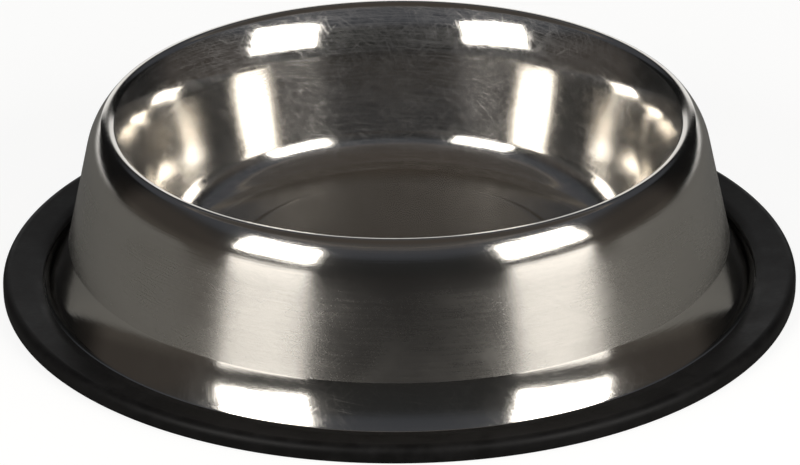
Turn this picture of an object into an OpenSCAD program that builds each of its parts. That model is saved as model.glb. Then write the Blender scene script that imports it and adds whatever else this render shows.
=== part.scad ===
// Non-tip pet bowl: one steel pressing that stands in a rubber ring.
// Both pieces are turned about the vertical axis. The ground is at height zero.

/* [Rim] */
// Height of the rim's top above the ground
rim_height = 56.3; // [52:0.1:70]
// Diameter of the rim across its highest line
rim_d = 181; // [160:1:220]
// Outside radius of the tight bend along the rim's top
crest_bend = 2.8; // [2:0.1:4]
// Angle above level at which the tight bend opens into the shoulder
crest_turn = 41; // [25:1:60]
// Outside radius of the shoulder between the rim and the skirt
shoulder_bend = 21; // [10:0.5:26]

/* [Sheet] */
// Thickness of the steel
sheet = 0.6; // [0.4:0.1:1]

/* [Skirt] */
// Lean of the skirt from upright, in degrees
skirt_tilt = 12.4; // [8:0.2:16]
// Radius of the bend between the skirt and the flare
break_bend = 9.6; // [4:0.2:18]
// Lean of the flare from upright at its top, in degrees
flare_tilt = 18; // [17:0.5:24]
// Radius of the slow curve along the flare
flare_bend = 45; // [25:1:60]
// Lean of the flare from upright at its foot, in degrees
flare_foot_tilt = 35.4; // [30:0.2:44]
// Radius of the tight bend between the flare and the flange
foot_bend = 2.5; // [1:0.1:4]
// Width of the flat flange
flange_w = 8.8; // [6:0.1:12]

/* [Dish] */
// Lean of the dish's wall from upright where it leaves the rim, in degrees
brow_tilt = 35.4; // [28:0.2:42]
// Radius of the bend between the rim and the wall
brow_bend = 40; // [25:1:50]
// Lean of the straight wall below that bend, in degrees
wall_tilt = 14.6; // [10:0.1:20]
// Inside radius of the bend between the wall and the floor
base_bend = 12; // [5:0.5:14]
// Height of the dish's floor above the ground, on its upper side
floor_height = 7.6; // [6:0.1:10]
// Diameter of the raised disc in the floor
disc_d = 99; // [60:1:110]
// Rise of the disc above the floor around it
disc_rise = 2.1; // [0.5:0.1:3]
// Width of the slope around the disc
disc_slope_w = 2.5; // [1.5:0.1:5]

/* [Rubber ring] */
// Thickness of the rubber under the flange
ring_floor = 1.4; // [1:0.1:2.4]
// Height of the ring at its outer side
ring_height = 5.4; // [5:0.1:8]
// Thickness of the rubber outside the flange's edge
ring_wall = 4; // [3:0.1:7]
// Distance of the ring's lips from the inner edge of the flat flange
ring_lip_inset = 0.3; // [0.1:0.1:2.5]
// Fall of the ring's top towards the dish, in degrees
ring_top_fall = 7.5; // [4:0.5:10]
// Radius of the ring's outer top edge
ring_top_round = 2.5; // [1:0.1:2.8]
// Radius of the ring's outer bottom edge
ring_foot_round = 0.8; // [0.4:0.1:1.5]
// Clearance between the rubber and the steel where they don't rest on each other
ring_gap = 0.3; // [0.1:0.05:0.4]

/* [Hidden] */
$fn = 180;

steel_colour = "silver";
rubber_colour = "#222224";

// Largest turn, in degrees, between two points of a bend in the sheet
bend_step = 6;

// Angles run from the outward direction, counter-clockwise in the section.
function polar(centre, radius, angle) = centre + radius * [cos(angle), sin(angle)];
function arc(centre, radius, from, to) =
    let (steps = ceil(abs(to - from) / bend_step))
    [for (i = [0:steps]) polar(centre, radius, from + (to - from) * i / steps)];
function reversed(points) = [for (i = [len(points) - 1:-1:0]) points[i]];

// Rim, shoulder and skirt, each tangent to the one before it
crest_centre = [rim_d / 2, rim_height - crest_bend];
shoulder_centre = polar(crest_centre, crest_bend - shoulder_bend, crest_turn);
skirt_top = polar(shoulder_centre, shoulder_bend, skirt_tilt);

// The flange lies on the ring's floor. The skirt ends where the break bend, the flare and the
// foot bend below it just come down to the flange.
flange_top = ring_floor + sheet;
skirt_foot_height = flange_top + foot_bend * (1 - sin(flare_foot_tilt))
    + flare_bend * (sin(flare_foot_tilt) - sin(flare_tilt))
    + break_bend * (sin(flare_tilt) - sin(skirt_tilt));
skirt_foot = [
    skirt_top.x + (skirt_top.y - skirt_foot_height) * tan(skirt_tilt),
    skirt_foot_height
];
break_centre = polar(skirt_foot, break_bend, skirt_tilt);
flare_centre = polar(break_centre, flare_bend - break_bend, flare_tilt);
foot_centre = polar(flare_centre, foot_bend - flare_bend, flare_foot_tilt);
flange_r = foot_centre.x + flange_w;

// Dish: brow bend, wall and base bend, each tangent to the one before it, and the disc in the
// floor
brow_centre = polar(crest_centre, crest_bend - brow_bend, 180 - brow_tilt);
wall_top = polar(brow_centre, brow_bend, 180 - wall_tilt);
wall_foot_height = floor_height + base_bend * (1 - sin(wall_tilt));
wall_foot = [
    wall_top.x - (wall_top.y - wall_foot_height) * tan(wall_tilt),
    wall_foot_height
];
base_centre = polar(wall_foot, -base_bend, -wall_tilt);
disc_r = disc_d / 2;
slope_foot = [disc_r + disc_slope_w, floor_height];
slope_top = [disc_r, floor_height + disc_rise];

// One side of the sheet, at a depth behind the visible side. The base bend and the curves from
// the skirt to the flange are hollow seen from the visible side, so they widen with depth. The
// other bends narrow.
function steel_side(depth) = concat(
    [[0, slope_top.y - depth], slope_top - [0, depth], slope_foot - [0, depth]],
    arc(base_centre, base_bend + depth, -90, -wall_tilt),
    arc(brow_centre, brow_bend - depth, 180 - wall_tilt, 180 - brow_tilt),
    arc(crest_centre, crest_bend - depth, 180 - brow_tilt, crest_turn),
    arc(shoulder_centre, shoulder_bend - depth, crest_turn, skirt_tilt),
    arc(break_centre, break_bend + depth, 180 + skirt_tilt, 180 + flare_tilt),
    arc(flare_centre, flare_bend + depth, 180 + flare_tilt, 180 + flare_foot_tilt),
    arc(foot_centre, foot_bend + depth, 180 + flare_foot_tilt, 270),
    [[flange_r, flange_top - depth]]
);

// Rubber ring, set round the flange's edge
ring_in = foot_centre.x + ring_lip_inset;
ring_out = flange_r + ring_wall;
top_round_centre = [ring_out - ring_top_round, ring_height - ring_top_round];
foot_round_centre = [ring_out - ring_foot_round, ring_foot_round];
ring_brow = polar(top_round_centre, ring_top_round, 90 + ring_top_fall);
ring_lip = [ring_in, ring_brow.y - (ring_brow.x - ring_in) * tan(ring_top_fall)];

// Section of the pressing, which is one outline: along the visible side from the middle of
// the dish over the rim to the flange's edge, and back at the sheet's thickness
module steel_section() {
    polygon(concat(steel_side(0), reversed(steel_side(sheet))));
}

// Solid section of the ring before the flange's groove is taken out
module ring_body_section() {
    polygon([
        [ring_in, 0],
        [foot_round_centre.x, 0],
        foot_round_centre,
        [ring_out, foot_round_centre.y],
        [ring_out, top_round_centre.y],
        top_round_centre,
        ring_brow,
        ring_lip
    ]);
    translate(top_round_centre)
        circle(r = ring_top_round);
    translate(foot_round_centre)
        circle(r = ring_foot_round);
}

// Groove that takes the flat flange, which rests on its lower side
module groove_section() {
    translate([foot_centre.x, ring_floor])
        square([flange_w + ring_gap, sheet + ring_gap]);
}

module steel_bowl() {
    color(steel_colour)
        rotate_extrude()
            steel_section();
}

module rubber_ring() {
    color(rubber_colour)
        rotate_extrude()
            difference() {
                ring_body_section();
                groove_section();
            }
}

steel_bowl();
rubber_ring();
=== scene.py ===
"""Non-tip pet bowl: a steel pressing in a rubber ring, in a plain studio."""

from math import atan, cos, pi, radians, sin, tan

import bmesh
import bpy
from mathutils import Matrix, Vector


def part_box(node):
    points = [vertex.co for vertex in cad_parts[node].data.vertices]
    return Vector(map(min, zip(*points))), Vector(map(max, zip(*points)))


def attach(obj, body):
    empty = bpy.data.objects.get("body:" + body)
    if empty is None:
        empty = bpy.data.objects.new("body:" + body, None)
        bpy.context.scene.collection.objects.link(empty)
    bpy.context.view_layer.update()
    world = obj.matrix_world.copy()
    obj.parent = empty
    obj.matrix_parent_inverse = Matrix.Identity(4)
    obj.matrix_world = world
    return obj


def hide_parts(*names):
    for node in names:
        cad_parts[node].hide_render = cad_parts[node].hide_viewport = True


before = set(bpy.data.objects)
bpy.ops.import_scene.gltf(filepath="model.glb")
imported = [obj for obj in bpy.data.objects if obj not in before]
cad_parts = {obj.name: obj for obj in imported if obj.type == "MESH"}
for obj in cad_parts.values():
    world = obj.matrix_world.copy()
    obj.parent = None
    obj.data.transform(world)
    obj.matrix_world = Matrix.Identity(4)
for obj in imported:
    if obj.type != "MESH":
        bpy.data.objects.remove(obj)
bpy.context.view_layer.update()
scene = bpy.context.scene
MM = 0.001

# Overall sizes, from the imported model
steel_low, steel_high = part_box("steel_bowl")
ring_low, ring_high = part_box("rubber_ring")
rim_height = steel_high.z
flange_r = steel_high.x
flange_foot = steel_low.z
ring_r = ring_high.x
ring_height = ring_high.z

# Sizes of the pressing's section
sheet = 0.6 * MM
rim_r = 90.5 * MM
crest_bend = 2.8 * MM
crest_turn = radians(41)
shoulder_bend = 21 * MM
skirt_tilt = radians(12.4)
break_bend = 9.6 * MM
flare_tilt = radians(18)
flare_bend = 45 * MM
flare_foot_tilt = radians(35.4)
foot_bend = 2.5 * MM
brow_tilt = radians(35.4)
brow_bend = 40 * MM
wall_tilt = radians(14.6)
base_bend = 12 * MM
floor_height = 7.6 * MM
disc_r = 49.5 * MM
disc_rise = 2.1 * MM
disc_slope = 2.5 * MM
disc_bend = 3.5 * MM

# Sizes of the rubber ring's section
ring_lip_inset = 0.3 * MM
ring_top_fall = radians(7.5)
ring_top_round = 2.5 * MM
ring_foot_round = 0.8 * MM
ring_lip_round = 0.2 * MM
ring_gap = 0.3 * MM

# Fineness of the meshes, and the distance within which two points are one
ROUND_STEPS = 256
BEND_STEP = radians(3)
ROW = 3 * MM
SAME_POINT = 0.001 * MM


def polar(centre, radius, angle):
    """Point of the section at an angle from the outward direction, counter-clockwise."""
    return centre + radius * Vector((cos(angle), sin(angle)))


# Centres of the pressing's bends, and the ends of its straight stretches, as (radius, height)
crest_centre = Vector((rim_r, rim_height - crest_bend))
shoulder_centre = polar(crest_centre, crest_bend - shoulder_bend, crest_turn)
skirt_top = polar(shoulder_centre, shoulder_bend, skirt_tilt)
flange_top = flange_foot + sheet
skirt_foot_height = (
    flange_top + foot_bend * (1 - sin(flare_foot_tilt))
    + flare_bend * (sin(flare_foot_tilt) - sin(flare_tilt))
    + break_bend * (sin(flare_tilt) - sin(skirt_tilt))
)
skirt_foot = Vector((
    skirt_top.x + (skirt_top.y - skirt_foot_height) * tan(skirt_tilt), skirt_foot_height
))
break_centre = polar(skirt_foot, break_bend, skirt_tilt)
flare_centre = polar(break_centre, flare_bend - break_bend, flare_tilt)
foot_centre = polar(flare_centre, foot_bend - flare_bend, flare_foot_tilt)
brow_centre = polar(crest_centre, crest_bend - brow_bend, pi - brow_tilt)
wall_top = polar(brow_centre, brow_bend, pi - wall_tilt)
wall_foot_height = floor_height + base_bend * (1 - sin(wall_tilt))
wall_foot = Vector((
    wall_top.x - (wall_top.y - wall_foot_height) * tan(wall_tilt), wall_foot_height
))
base_centre = polar(wall_foot, -base_bend, -wall_tilt)


class Section:
    """Pen that draws a section with bmesh operators, in the plane of radius and height."""

    def __init__(self, start):
        self.mesh = bmesh.new()
        self.first = self.tip = self.mesh.verts.new((start[0], 0, start[1]))

    def line(self, end):
        """Straight stretch in rows, so that the shading of the bends stays in the bends."""
        start = self.tip.co.copy()
        end = Vector((end[0], 0, end[1]))
        rows = max(1, round((end - start).length / ROW))
        for row in range(rows):
            made = bmesh.ops.extrude_vert_indiv(self.mesh, verts=[self.tip])
            self.tip = made["verts"][0]
            self.tip.co = start.lerp(end, (row + 1) / rows)

    def bend(self, centre, turn):
        """Arc about a centre, counter-clockwise where the turn is positive."""
        made = bmesh.ops.spin(
            self.mesh, geom=[self.tip], cent=(centre[0], 0, centre[1]), axis=(0, -1, 0),
            angle=turn, steps=max(2, round(abs(turn) / BEND_STEP)), use_merge=False,
        )
        self.tip = [v for v in made["geom_last"] if isinstance(v, bmesh.types.BMVert)][0]

    def close(self):
        """Straight stretch back to the start."""
        self.line((self.first.co.x, self.first.co.z))

    def turned(self, name):
        """Turns the section about the upright axis and returns the object."""
        mesh = self.mesh
        bmesh.ops.remove_doubles(mesh, verts=mesh.verts, dist=SAME_POINT)
        bmesh.ops.spin(
            mesh, geom=mesh.verts[:] + mesh.edges[:], cent=(0, 0, 0), axis=(0, 0, 1),
            angle=2 * pi, steps=ROUND_STEPS, use_merge=True,
        )
        bmesh.ops.remove_doubles(mesh, verts=mesh.verts, dist=SAME_POINT)
        bmesh.ops.recalc_face_normals(mesh, faces=mesh.faces)
        data = bpy.data.meshes.new(name)
        mesh.to_mesh(data)
        mesh.free()
        data.shade_smooth()
        piece = bpy.data.objects.new(name, data)
        scene.collection.objects.link(piece)
        return piece


def steel_pressing():
    """One sheet: the visible side from the middle outwards, and the hidden side back."""
    disc_top = floor_height + disc_rise
    slope_tilt = atan(disc_rise / disc_slope)
    bend_reach = disc_bend * tan(slope_tilt / 2)
    disc_edge_centre = Vector((disc_r - bend_reach, disc_top - disc_bend))
    slope_foot_centre = Vector((disc_r + disc_slope + bend_reach, floor_height + disc_bend))
    flange_edge_centre = Vector((flange_r - sheet / 2, flange_top - sheet / 2))
    section = Section((0, disc_top))
    section.line((disc_edge_centre.x, disc_top))
    section.bend(disc_edge_centre, -slope_tilt)
    section.line(polar(slope_foot_centre, disc_bend, -pi / 2 - slope_tilt))
    section.bend(slope_foot_centre, slope_tilt)
    section.line((base_centre.x, floor_height))
    section.bend(base_centre, pi / 2 - wall_tilt)
    section.line(wall_top)
    section.bend(brow_centre, wall_tilt - brow_tilt)
    section.bend(crest_centre, crest_turn - (pi - brow_tilt))
    section.bend(shoulder_centre, skirt_tilt - crest_turn)
    section.line(skirt_foot)
    section.bend(break_centre, flare_tilt - skirt_tilt)
    section.bend(flare_centre, flare_foot_tilt - flare_tilt)
    section.bend(foot_centre, pi / 2 - flare_foot_tilt)
    section.line((flange_edge_centre.x, flange_top))
    section.bend(flange_edge_centre, -pi)
    section.line((foot_centre.x, flange_foot))
    section.bend(foot_centre, flare_foot_tilt - pi / 2)
    section.bend(flare_centre, flare_tilt - flare_foot_tilt)
    section.bend(break_centre, skirt_tilt - flare_tilt)
    section.line(polar(shoulder_centre, shoulder_bend - sheet, skirt_tilt))
    section.bend(shoulder_centre, crest_turn - skirt_tilt)
    section.bend(crest_centre, (pi - brow_tilt) - crest_turn)
    section.bend(brow_centre, brow_tilt - wall_tilt)
    section.line(polar(base_centre, base_bend + sheet, -wall_tilt))
    section.bend(base_centre, wall_tilt - pi / 2)
    section.line((disc_r + disc_slope, floor_height - sheet))
    section.line((disc_r, disc_top - sheet))
    section.line((0, disc_top - sheet))
    return section.turned("steel_pressing")


def moulded_ring():
    """Ring with its groove: round the outside first, then the lips and the groove."""
    inner_r = foot_centre.x + ring_lip_inset
    top_round = Vector((ring_r - ring_top_round, ring_height - ring_top_round))
    foot_round = Vector((ring_r - ring_foot_round, ring_foot_round))
    brow = polar(top_round, ring_top_round, pi / 2 + ring_top_fall)
    lip_top = brow.y - (brow.x - inner_r) * tan(ring_top_fall)
    groove_top = flange_top + ring_gap
    groove_end = flange_r + ring_gap
    section = Section((inner_r, ring_low.z))
    section.line((foot_round.x, ring_low.z))
    section.bend(foot_round, pi / 2)
    section.line((ring_r, top_round.y))
    section.bend(top_round, pi / 2 + ring_top_fall)
    section.line((inner_r + ring_lip_round, lip_top + ring_lip_round * tan(ring_top_fall)))
    section.line((inner_r, lip_top - ring_lip_round))
    section.line((inner_r, groove_top))
    section.line((groove_end, groove_top))
    section.line((groove_end, flange_foot))
    section.line((inner_r, flange_foot))
    section.close()
    return section.turned("moulded_ring")


def linear(colour):
    """Linear red, green, blue and alpha of an sRGB hex colour."""
    parts = [int(colour[i:i + 2], 16) / 255 for i in (1, 3, 5)]
    return [p / 12.92 if p <= 0.04045 else ((p + 0.055) / 1.055) ** 2.4 for p in parts] + [1]


def add(tree, kind, links, **settings):
    """Adds a node with its settings, sets or links each (input, value), and returns the
    node's outputs."""
    made = tree.nodes.new("ShaderNode" + kind)
    for name, value in settings.items():
        setattr(made, name, value)
    for name, value in links:
        if isinstance(value, bpy.types.NodeSocket):
            tree.links.new(value, made.inputs[name])
        else:
            made.inputs[name].default_value = value
    return made.outputs


def new_tree(name):
    """Material of that name and its empty node tree."""
    material = bpy.data.materials.new(name)
    material.use_nodes = True
    material.node_tree.nodes.clear()
    return material, material.node_tree


# Radius at which the steel's surface is unrolled for its pattern, about the wall's at its top
UNROLLED_R = 85 * MM
# Marks on the steel. Polishing lines are really about 0.1 mm apart and scratches a few
# hundredths of a millimetre wide, and both are drawn coarser so that they show.
LINE_LENGTH = 30 * MM
LINE_PITCH = 0.5 * MM
SCRATCH_WIDTH = 0.25 * MM
# Slants of the scratches from the lines, in degrees, each with the scratches' length
SCRATCHES = ((9, 14 * MM), (38, 9 * MM), (-43, 8 * MM), (71, 7 * MM))
# Depth of the relief of lines and scratches, and how strong that of the scratches is
MARK_DEPTH = 0.05 * MM
SCRATCH_STRENGTH = 0.04
# Values of the noise between which the film's streaks and the dulled patches grow from none to
# full, and the higher ones for the scratches, which keep those few
PATTERN_NOISE = (0.4, 0.7)
SCRATCH_NOISE = (0.58, 0.78)
# Patches dulled by handling, and the swell that pressing leaves in the sheet
PATCH_SIZE = 30 * MM
SWELL_SIZE = 35 * MM
SWELL_HEIGHT = 0.05 * MM
# Least and most roughness of the patches, and what the lines add, as shares of the finish's own
PATCH_SHARES = (0.9, 1.3)
LINE_SHARE = 0.5
# Film from washing: how thickly it lies on the lines and in the scratches, and its finish
FILM_ON_LINES = 0.6
FILM_IN_SCRATCHES = 1.2
FILM_ROUGHNESS = 0.55
FILM_IOR = 2
# Depths below the rim's top between which the skirt's satin turns into the smoother shoulder
SHOULDER_DEPTHS = (16 * MM, 7 * MM)


def steel(name, roughness, wear, brushing, film, anisotropy, lean, seam, top_polish=1):
    """Pressed austenitic stainless steel: a warm grey mirror that its last working leaves a
    little or fairly rough, with polishing lines round the axis and fine scratches from use.
    wear is how rough its scratches are, brushing how strong the relief of its lines is, and
    film how much of the dull film from washing lies on it. lean is how much of the radius
    counts in the place across the lines, and seam is 1 or -1 for lines that meet at the back
    or at the front. top_polish is how rough the shoulder is, as a share of the rest."""
    material, tree = new_tree(name)
    place = add(tree, "TexCoord", [])["Object"]
    split = add(tree, "SeparateXYZ", [("Vector", place)])
    facing = add(tree, "Math", [(0, split["Y"]), (1, -seam)], operation="MULTIPLY")[0]
    angle = add(tree, "Math", [(0, split["X"]), (1, facing)], operation="ARCTAN2")[0]
    flat = add(tree, "CombineXYZ", [("X", split["X"]), ("Y", split["Y"])])[0]
    radius = add(tree, "VectorMath", [(0, flat)], operation="LENGTH")["Value"]
    # Surface unrolled: run goes along the lines and rise across them
    rise = add(tree, "Math", [
        (0, radius), (1, lean), (2, split["Z"])], operation="MULTIPLY_ADD")[0]
    run = add(tree, "Math", [(0, angle), (1, UNROLLED_R)], operation="MULTIPLY")[0]
    unrolled = add(tree, "CombineXYZ", [("X", run), ("Y", rise)])[0]
    along = add(tree, "Mapping", [
        ("Vector", unrolled), ("Scale", (1 / LINE_LENGTH, 1 / LINE_PITCH, 1))])[0]
    lines = add(tree, "TexNoise", [
        ("Scale", 1), ("Detail", 3), ("Roughness", 0.7), ("Vector", along)])["Fac"]
    # Each slant also shifts its scratches, so that no two sets repeat each other
    scratches = 0
    for slant, length in SCRATCHES:
        laid = add(tree, "Mapping", [
            ("Vector", unrolled), ("Location", (slant, 0, 0)),
            ("Rotation", (0, 0, radians(slant)))])[0]
        drawn = add(tree, "Mapping", [
            ("Vector", laid), ("Scale", (1 / length, 1 / SCRATCH_WIDTH, 1))])[0]
        noise = add(tree, "TexNoise", [("Scale", 1), ("Detail", 1), ("Vector", drawn)])["Fac"]
        cut = add(tree, "MapRange", [
            ("Value", noise), ("From Min", SCRATCH_NOISE[0]),
            ("From Max", SCRATCH_NOISE[1])])["Result"]
        scratches = add(tree, "Math", [(0, scratches), (1, cut)], operation="ADD")[0]
    # The film lies in the scratches and lines, and gives them their grey
    streaks = add(tree, "MapRange", [
        ("Value", lines), ("From Min", PATTERN_NOISE[0]), ("From Max", PATTERN_NOISE[1]),
        ("To Min", 0), ("To Max", film * FILM_ON_LINES)])["Result"]
    caught = add(tree, "Math", [
        (0, scratches), (1, film * FILM_IN_SCRATCHES), (2, streaks)],
        operation="MULTIPLY_ADD", use_clamp=True)[0]
    # Roughness of the patches, with what the lines and the scratches add
    patches = add(tree, "TexNoise", [
        ("Vector", place), ("Scale", 1 / PATCH_SIZE), ("Detail", 4)])["Fac"]
    dulled = add(tree, "MapRange", [
        ("Value", patches), ("From Min", PATTERN_NOISE[0]), ("From Max", PATTERN_NOISE[1]),
        ("To Min", roughness * PATCH_SHARES[0]), ("To Max", roughness * PATCH_SHARES[1])])["Result"]
    lined = add(tree, "Math", [
        (0, lines), (1, roughness * LINE_SHARE), (2, dulled)], operation="MULTIPLY_ADD")[0]
    rough = add(tree, "Math", [
        (0, scratches), (1, wear), (2, lined)], operation="MULTIPLY_ADD")[0]
    if top_polish != 1:
        polish = add(tree, "MapRange", [
            ("Value", split["Z"]), ("From Min", rim_height - SHOULDER_DEPTHS[0]),
            ("From Max", rim_height - SHOULDER_DEPTHS[1]), ("To Min", 1),
            ("To Max", top_polish)])["Result"]
        rough = add(tree, "Math", [(0, rough), (1, polish)], operation="MULTIPLY")[0]
    # Relief of the sheet's swell, of the lines and of the scratches
    uneven = add(tree, "TexNoise", [
        ("Vector", place), ("Scale", 1 / SWELL_SIZE), ("Detail", 1)])["Fac"]
    swell = add(tree, "Bump", [("Height", uneven), ("Distance", SWELL_HEIGHT), ("Strength", 1)])[0]
    brushed = add(tree, "Bump", [
        ("Height", lines), ("Distance", MARK_DEPTH), ("Strength", brushing),
        ("Normal", swell)])[0]
    scratched = add(tree, "Bump", [
        ("Height", scratches), ("Distance", MARK_DEPTH), ("Strength", SCRATCH_STRENGTH),
        ("Normal", brushed)])[0]
    # The tangent runs round the axis, and a quarter turn draws the gleam out across the lines
    tangent = add(tree, "Tangent", [], direction_type="RADIAL", axis="Z")[0]
    shader = add(tree, "BsdfPrincipled", [
        ("Base Color", linear("#D6D2CB")), ("Metallic", 1), ("Roughness", rough),
        ("Normal", scratched), ("Tangent", tangent), ("Anisotropic", anisotropy),
        ("Anisotropic Rotation", 0.25), ("Coat Weight", caught),
        ("Coat Roughness", FILM_ROUGHNESS), ("Coat IOR", FILM_IOR)])[0]
    add(tree, "OutputMaterial", [("Surface", shader)])
    return material


# Grain that the mould leaves in the rubber, and scuffed patches of it
GRAIN_SIZE = 0.6 * MM
GRAIN_DEPTH = 0.1 * MM
GRAIN_STRENGTH = 0.25
SCUFF_SIZE = 9 * MM
# Roughness of the rubber's skin, clean and scuffed
SKIN_ROUGHNESS = (0.45, 0.62)


def rubber(name):
    """Moulded black rubber: a satin black skin, scuffed a little lighter in places, with the
    fine grain of its mould."""
    material, tree = new_tree(name)
    place = add(tree, "TexCoord", [])["Object"]
    grain = add(tree, "TexNoise", [
        ("Vector", place), ("Scale", 1 / GRAIN_SIZE), ("Detail", 2)])["Fac"]
    scuffs = add(tree, "TexNoise", [
        ("Vector", place), ("Scale", 1 / SCUFF_SIZE), ("Detail", 6), ("Roughness", 0.7)])["Fac"]
    colour = add(tree, "ValToRGB", [("Fac", scuffs)])["Color"]
    clean, scuffed = colour.node.color_ramp.elements
    clean.position = 0.45
    clean.color = linear("#0B0A0A")
    scuffed.position = 0.75
    scuffed.color = linear("#1B1A1A")
    rough = add(tree, "MapRange", [
        ("Value", scuffs), ("From Min", 0.3), ("From Max", 0.7),
        ("To Min", SKIN_ROUGHNESS[0]), ("To Max", SKIN_ROUGHNESS[1])])["Result"]
    bump = add(tree, "Bump", [
        ("Height", grain), ("Distance", GRAIN_DEPTH), ("Strength", GRAIN_STRENGTH)])[0]
    shader = add(tree, "BsdfPrincipled", [
        ("Base Color", colour), ("Roughness", rough), ("IOR", 1.5),
        ("Specular IOR Level", 0.25), ("Normal", bump)])[0]
    add(tree, "OutputMaterial", [("Surface", shader)])
    return material


# The bowl's finishes, by their places among its materials
SCOURED, SATIN, SPUN, BRIGHT, BRUSHED = range(5)

# Limits of the finishes. The satin starts outside the rim's top and ends just below the
# skirt's foot, the spun disc ends where its edge bends, and the rim is bright from just inside
# its top.
satin_from_r = rim_r + 3 * MM
satin_foot = skirt_foot.y - 0.5 * MM
spun_r = disc_r - 1.5 * MM
bright_rim_from_r = rim_r - 2 * MM


def finish(radius, height):
    """Finish of a face of the bowl with its centre at that radius and height."""
    if radius > satin_from_r and height > satin_foot:
        return SATIN
    if radius < spun_r:
        return SPUN
    if radius < base_centre.x or radius > bright_rim_from_r:
        return BRIGHT
    if height < wall_top.y:
        return BRUSHED
    return SCOURED


bowl = steel_pressing()
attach(bowl, "bowl")
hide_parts("steel_bowl")
steels = (
    # Brow under the rim: bright, and greyed by scouring and a film from washing
    steel("scoured_stainless_steel", roughness=0.05, wear=0.12, brushing=0.08, film=1.3,
          anisotropy=0.3, lean=0.3, seam=-1),
    # Skirt: even satin that blurs what it mirrors, and smoother on its shoulder
    steel("satin_stainless_steel", roughness=0.2, wear=0.03, brushing=0.4, film=0,
          anisotropy=0.6, lean=0, seam=1, top_polish=0.45),
    # Disc in the floor: fine rings round its middle
    steel("spun_stainless_steel", roughness=0.08, wear=0.05, brushing=0.15, film=0,
          anisotropy=0.4, lean=1, seam=-1),
    # Floor, flare, flange and rim: polished, with nearly clear reflections
    steel("bright_stainless_steel", roughness=0.085, wear=0.05, brushing=0.15, film=0,
          anisotropy=0.3, lean=0.3, seam=1),
    # Wall: brushed round, which draws each lamp out into an upright gleam
    steel("brushed_stainless_steel", roughness=0.08, wear=0.08, brushing=0.35, film=0.65,
          anisotropy=0.7, lean=0.3, seam=-1),
)
for worked_steel in steels:
    bowl.data.materials.append(worked_steel)
for face in bowl.data.polygons:
    face.material_index = finish(face.center.to_2d().length, face.center.z)

ring = moulded_ring()
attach(ring, "ring")
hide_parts("rubber_ring")
ring.data.materials.append(rubber("black_moulded_rubber"))


def lamp(name, azimuth, distance, width, heights, radiance):
    """Upright soft box that faces the bowl, of that radiance over its face. Azimuths are in
    degrees from the viewer's side to the left, and heights are above the ground."""
    low, high = heights
    light = bpy.data.lights.new(name, "AREA")
    light.shape = "RECTANGLE"
    light.size = width
    light.size_y = high - low
    light.energy = pi * radiance * width * (high - low)
    light.color = linear("#FFFCF8")[:3]
    box = bpy.data.objects.new(name, light)
    scene.collection.objects.link(box)
    away = Vector((-sin(radians(azimuth)), -cos(radians(azimuth)), 0))
    turn = away.to_track_quat("Z", "Y").to_matrix().to_4x4()
    centre = away * distance + Vector((0, 0, (low + high) / 2))
    box.matrix_world = Matrix.Translation(centre) @ turn
    box.visible_camera = False


# On either side of the viewer, a bright soft box and a dim reflector low under it. The last two
# of a row are their heights.
SOFT_BOX_RADIANCE = 8
REFLECTOR_RADIANCE = 1.6
for side, azimuth, distance, width, soft_box, reflector in (
    ("left", 44.5, 1.29, 0.67, (0.43, 1.02), (-0.16, 0.14)),
    ("right", -52.5, 1.03, 0.57, (0.33, 0.82), (-0.13, 0.11)),
):
    lamp("soft_box_" + side, azimuth, distance, width, soft_box, SOFT_BOX_RADIANCE)
    lamp("reflector_" + side, azimuth, distance, width, reflector, REFLECTOR_RADIANCE)

WHITE = (1, 1, 1, 1)


def seen_white(tree, path, mask):
    """How much of its white the ground or the room shows: all of it to the camera, and the
    mask's share to metal or glass. path holds the Light Path node's outputs."""
    mirrored = add(tree, "Math", [
        (0, path["Is Glossy Ray"]), (1, path["Is Transmission Ray"])], operation="MAXIMUM")[0]
    masked = add(tree, "Math", [(0, mirrored), (1, mask)], operation="MULTIPLY")[0]
    return add(tree, "Math", [
        (0, path["Is Camera Ray"]), (1, masked)], operation="MAXIMUM")[0]


# Reach of the ground to the sides, behind and in front, from the bowl's axis
FLOOR_SIDE = 0.9
FLOOR_BACK = 1.2
FLOOR_FRONT = 0.15
# Distances behind the bowl's axis between which metal and glass see the ground turn white
SWEEP_Y = (0.3, 0.6)
# Light that is added to the ground where it is looked at
FLOOR_LIFT = 0.83


def pale_floor():
    """Plain pale ground: matt paper lit by the studio, and lifted to white where it is looked
    at."""
    mesh = bmesh.new()
    bmesh.ops.create_grid(mesh, x_segments=1, y_segments=1, size=1)
    bmesh.ops.scale(mesh, vec=(FLOOR_SIDE, (FLOOR_BACK + FLOOR_FRONT) / 2, 1), verts=mesh.verts)
    bmesh.ops.translate(mesh, vec=(0, (FLOOR_BACK - FLOOR_FRONT) / 2, 0), verts=mesh.verts)
    data = bpy.data.meshes.new("floor")
    mesh.to_mesh(data)
    mesh.free()
    floor = bpy.data.objects.new("floor", data)
    scene.collection.objects.link(floor)
    material, tree = new_tree("matt_white_paper")
    path = add(tree, "LightPath", [])
    place = add(tree, "SeparateXYZ", [("Vector", add(tree, "TexCoord", [])["Object"])])
    sweep = add(tree, "MapRange", [
        ("Value", place["Y"]), ("From Min", SWEEP_Y[0]), ("From Max", SWEEP_Y[1])])["Result"]
    seen = seen_white(tree, path, sweep)
    lift = add(tree, "Math", [(0, seen), (1, FLOOR_LIFT)], operation="MULTIPLY")[0]
    lifted = add(tree, "Emission", [("Color", WHITE), ("Strength", lift)])[0]
    paper = add(tree, "BsdfDiffuse", [("Color", linear("#8C8C8A"))])[0]
    surface = add(tree, "AddShader", [(0, paper), (1, lifted)])[0]
    add(tree, "OutputMaterial", [("Surface", surface)])
    data.materials.append(material)


pale_floor()

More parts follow.
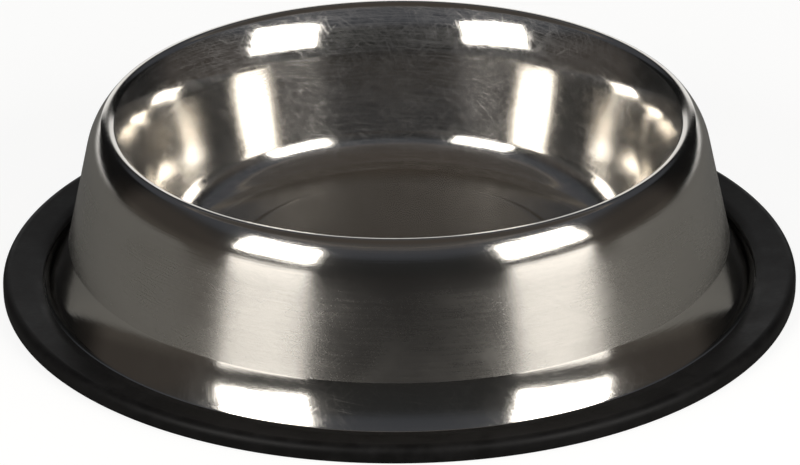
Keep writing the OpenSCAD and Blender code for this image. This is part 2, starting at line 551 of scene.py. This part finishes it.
# Colours of the room by the sine of the angle above level: in front, overhead and behind, with
# a warm strip of light high up, and at the sides
FRONT_COLOURS = (
    (-1, "#2E2D2D"), (-0.05, "#2E2D2D"), (0.09, "#292929"), (0.48, "#2C2D2E"), (0.56, "#42454B"),
    (0.75, "#4A4C52"), (0.765, "#8A8278"), (0.78, "#4C4C4D"), (0.83, "#4D4A48"), (1, "#4C4743"),
)
SIDE_COLOURS = (
    (-1, "#3F3C39"), (0.06, "#4C4844"), (0.12, "#403C39"), (0.6, "#413D3A"), (0.8, "#4A4542"),
    (1, "#4C4743"),
)
# Edges of the room's parts, each from one value to another of the direction's X, Y or Z: the
# sides, the dim corners behind them and their top, and the white backdrop and its top
SIDE_X = (0.8, 0.92)
CORNER_Y = (0.3, 0.45)
CORNER_TOP_Z = (0.46, 0.56)
BACKDROP_Y = (0.9, 0.93)
BACKDROP_TOP_Z = (0.34, 0.44)
# Share of the walls' brightness that is missing in the corners
CORNER_LOSS = 0.65
# Brightness of the plain fill, which is all that matt surfaces get from the room
FILL = 0.25


def studio_room():
    """Dark room in front and overhead, with paler low sides, a white backdrop behind, and a
    plain fill."""
    world = bpy.data.worlds.new("studio")
    scene.world = world
    world.use_nodes = True
    tree = world.node_tree
    tree.nodes.clear()
    way = add(tree, "SeparateXYZ", [("Vector", add(tree, "TexCoord", [])["Generated"])])
    height = add(tree, "MapRange", [
        ("Value", way["Z"]), ("From Min", -1), ("From Max", 1)])["Result"]
    walls = []
    for stops in (FRONT_COLOURS, SIDE_COLOURS):
        wall = add(tree, "ValToRGB", [("Fac", height)])["Color"]
        ramp = wall.node.color_ramp
        for rise, _ in stops[1:-1]:
            ramp.elements.new((rise + 1) / 2)
        for element, (rise, colour) in zip(ramp.elements, stops):
            element.position = (rise + 1) / 2
            element.color = linear(colour)
        walls.append(wall)
    across = add(tree, "Math", [(0, way["X"])], operation="ABSOLUTE")[0]
    side = add(tree, "MapRange", [
        ("Value", across), ("From Min", SIDE_X[0]), ("From Max", SIDE_X[1])])["Result"]
    # Inputs 0, 6 and 7 of a Mix node are its factor and its two colours, and output 2 the result
    room = add(tree, "Mix", [(0, side), (6, walls[0]), (7, walls[1])], data_type="RGBA")[2]
    behind = add(tree, "MapRange", [
        ("Value", way["Y"]), ("From Min", CORNER_Y[0]), ("From Max", CORNER_Y[1])])["Result"]
    loss = add(tree, "MapRange", [
        ("Value", way["Z"]), ("From Min", CORNER_TOP_Z[0]), ("From Max", CORNER_TOP_Z[1]),
        ("To Min", -CORNER_LOSS), ("To Max", 0)])["Result"]
    corner = add(tree, "Math", [(0, behind), (1, loss), (2, 1)], operation="MULTIPLY_ADD")[0]
    middle = add(tree, "MapRange", [
        ("Value", way["Y"]), ("From Min", BACKDROP_Y[0]), ("From Max", BACKDROP_Y[1])])["Result"]
    low = add(tree, "MapRange", [
        ("Value", way["Z"]), ("From Min", BACKDROP_TOP_Z[0]), ("From Max", BACKDROP_TOP_Z[1]),
        ("To Min", 1), ("To Max", 0)])["Result"]
    backdrop = add(tree, "Math", [(0, middle), (1, low)], operation="MULTIPLY")[0]
    path = add(tree, "LightPath", [])
    seen = seen_white(tree, path, backdrop)
    dark = add(tree, "Background", [("Color", room), ("Strength", corner)])[0]
    fill = add(tree, "Background", [("Color", WHITE), ("Strength", FILL)])[0]
    white = add(tree, "Background", [("Color", WHITE), ("Strength", 1)])[0]
    lit = add(tree, "MixShader", [(0, path["Is Diffuse Ray"]), (1, dark), (2, fill)])[0]
    shown = add(tree, "MixShader", [(0, seen), (1, lit), (2, white)])[0]
    add(tree, "OutputWorld", [("Surface", shown)])


studio_room()

# Camera, at the photograph's viewing angle. Its lens and sensor are in millimetres.
CAMERA_ELEVATION = radians(25.61)
CAMERA_DISTANCE = 1.3959
CAMERA_ROLL = radians(-0.44)
CAMERA_LENS = 199.25
CAMERA_SENSOR = 36
CAMERA_SHIFT = 0.0011
AIM = Vector((0, 0, 15 * MM))
camera = bpy.data.objects.new("camera", bpy.data.cameras.new("camera"))
scene.collection.objects.link(camera)
back = Vector((0, -cos(CAMERA_ELEVATION), sin(CAMERA_ELEVATION)))
facing_bowl = back.to_track_quat("Z", "Y").to_matrix().to_4x4()
turn = facing_bowl @ Matrix.Rotation(CAMERA_ROLL, 4, "Z")
camera.matrix_world = Matrix.Translation(AIM + CAMERA_DISTANCE * back) @ turn
camera.data.lens = CAMERA_LENS
camera.data.sensor_width = CAMERA_SENSOR
camera.data.shift_x = CAMERA_SHIFT
scene.camera = camera
scene.view_settings.view_transform = "Standard"
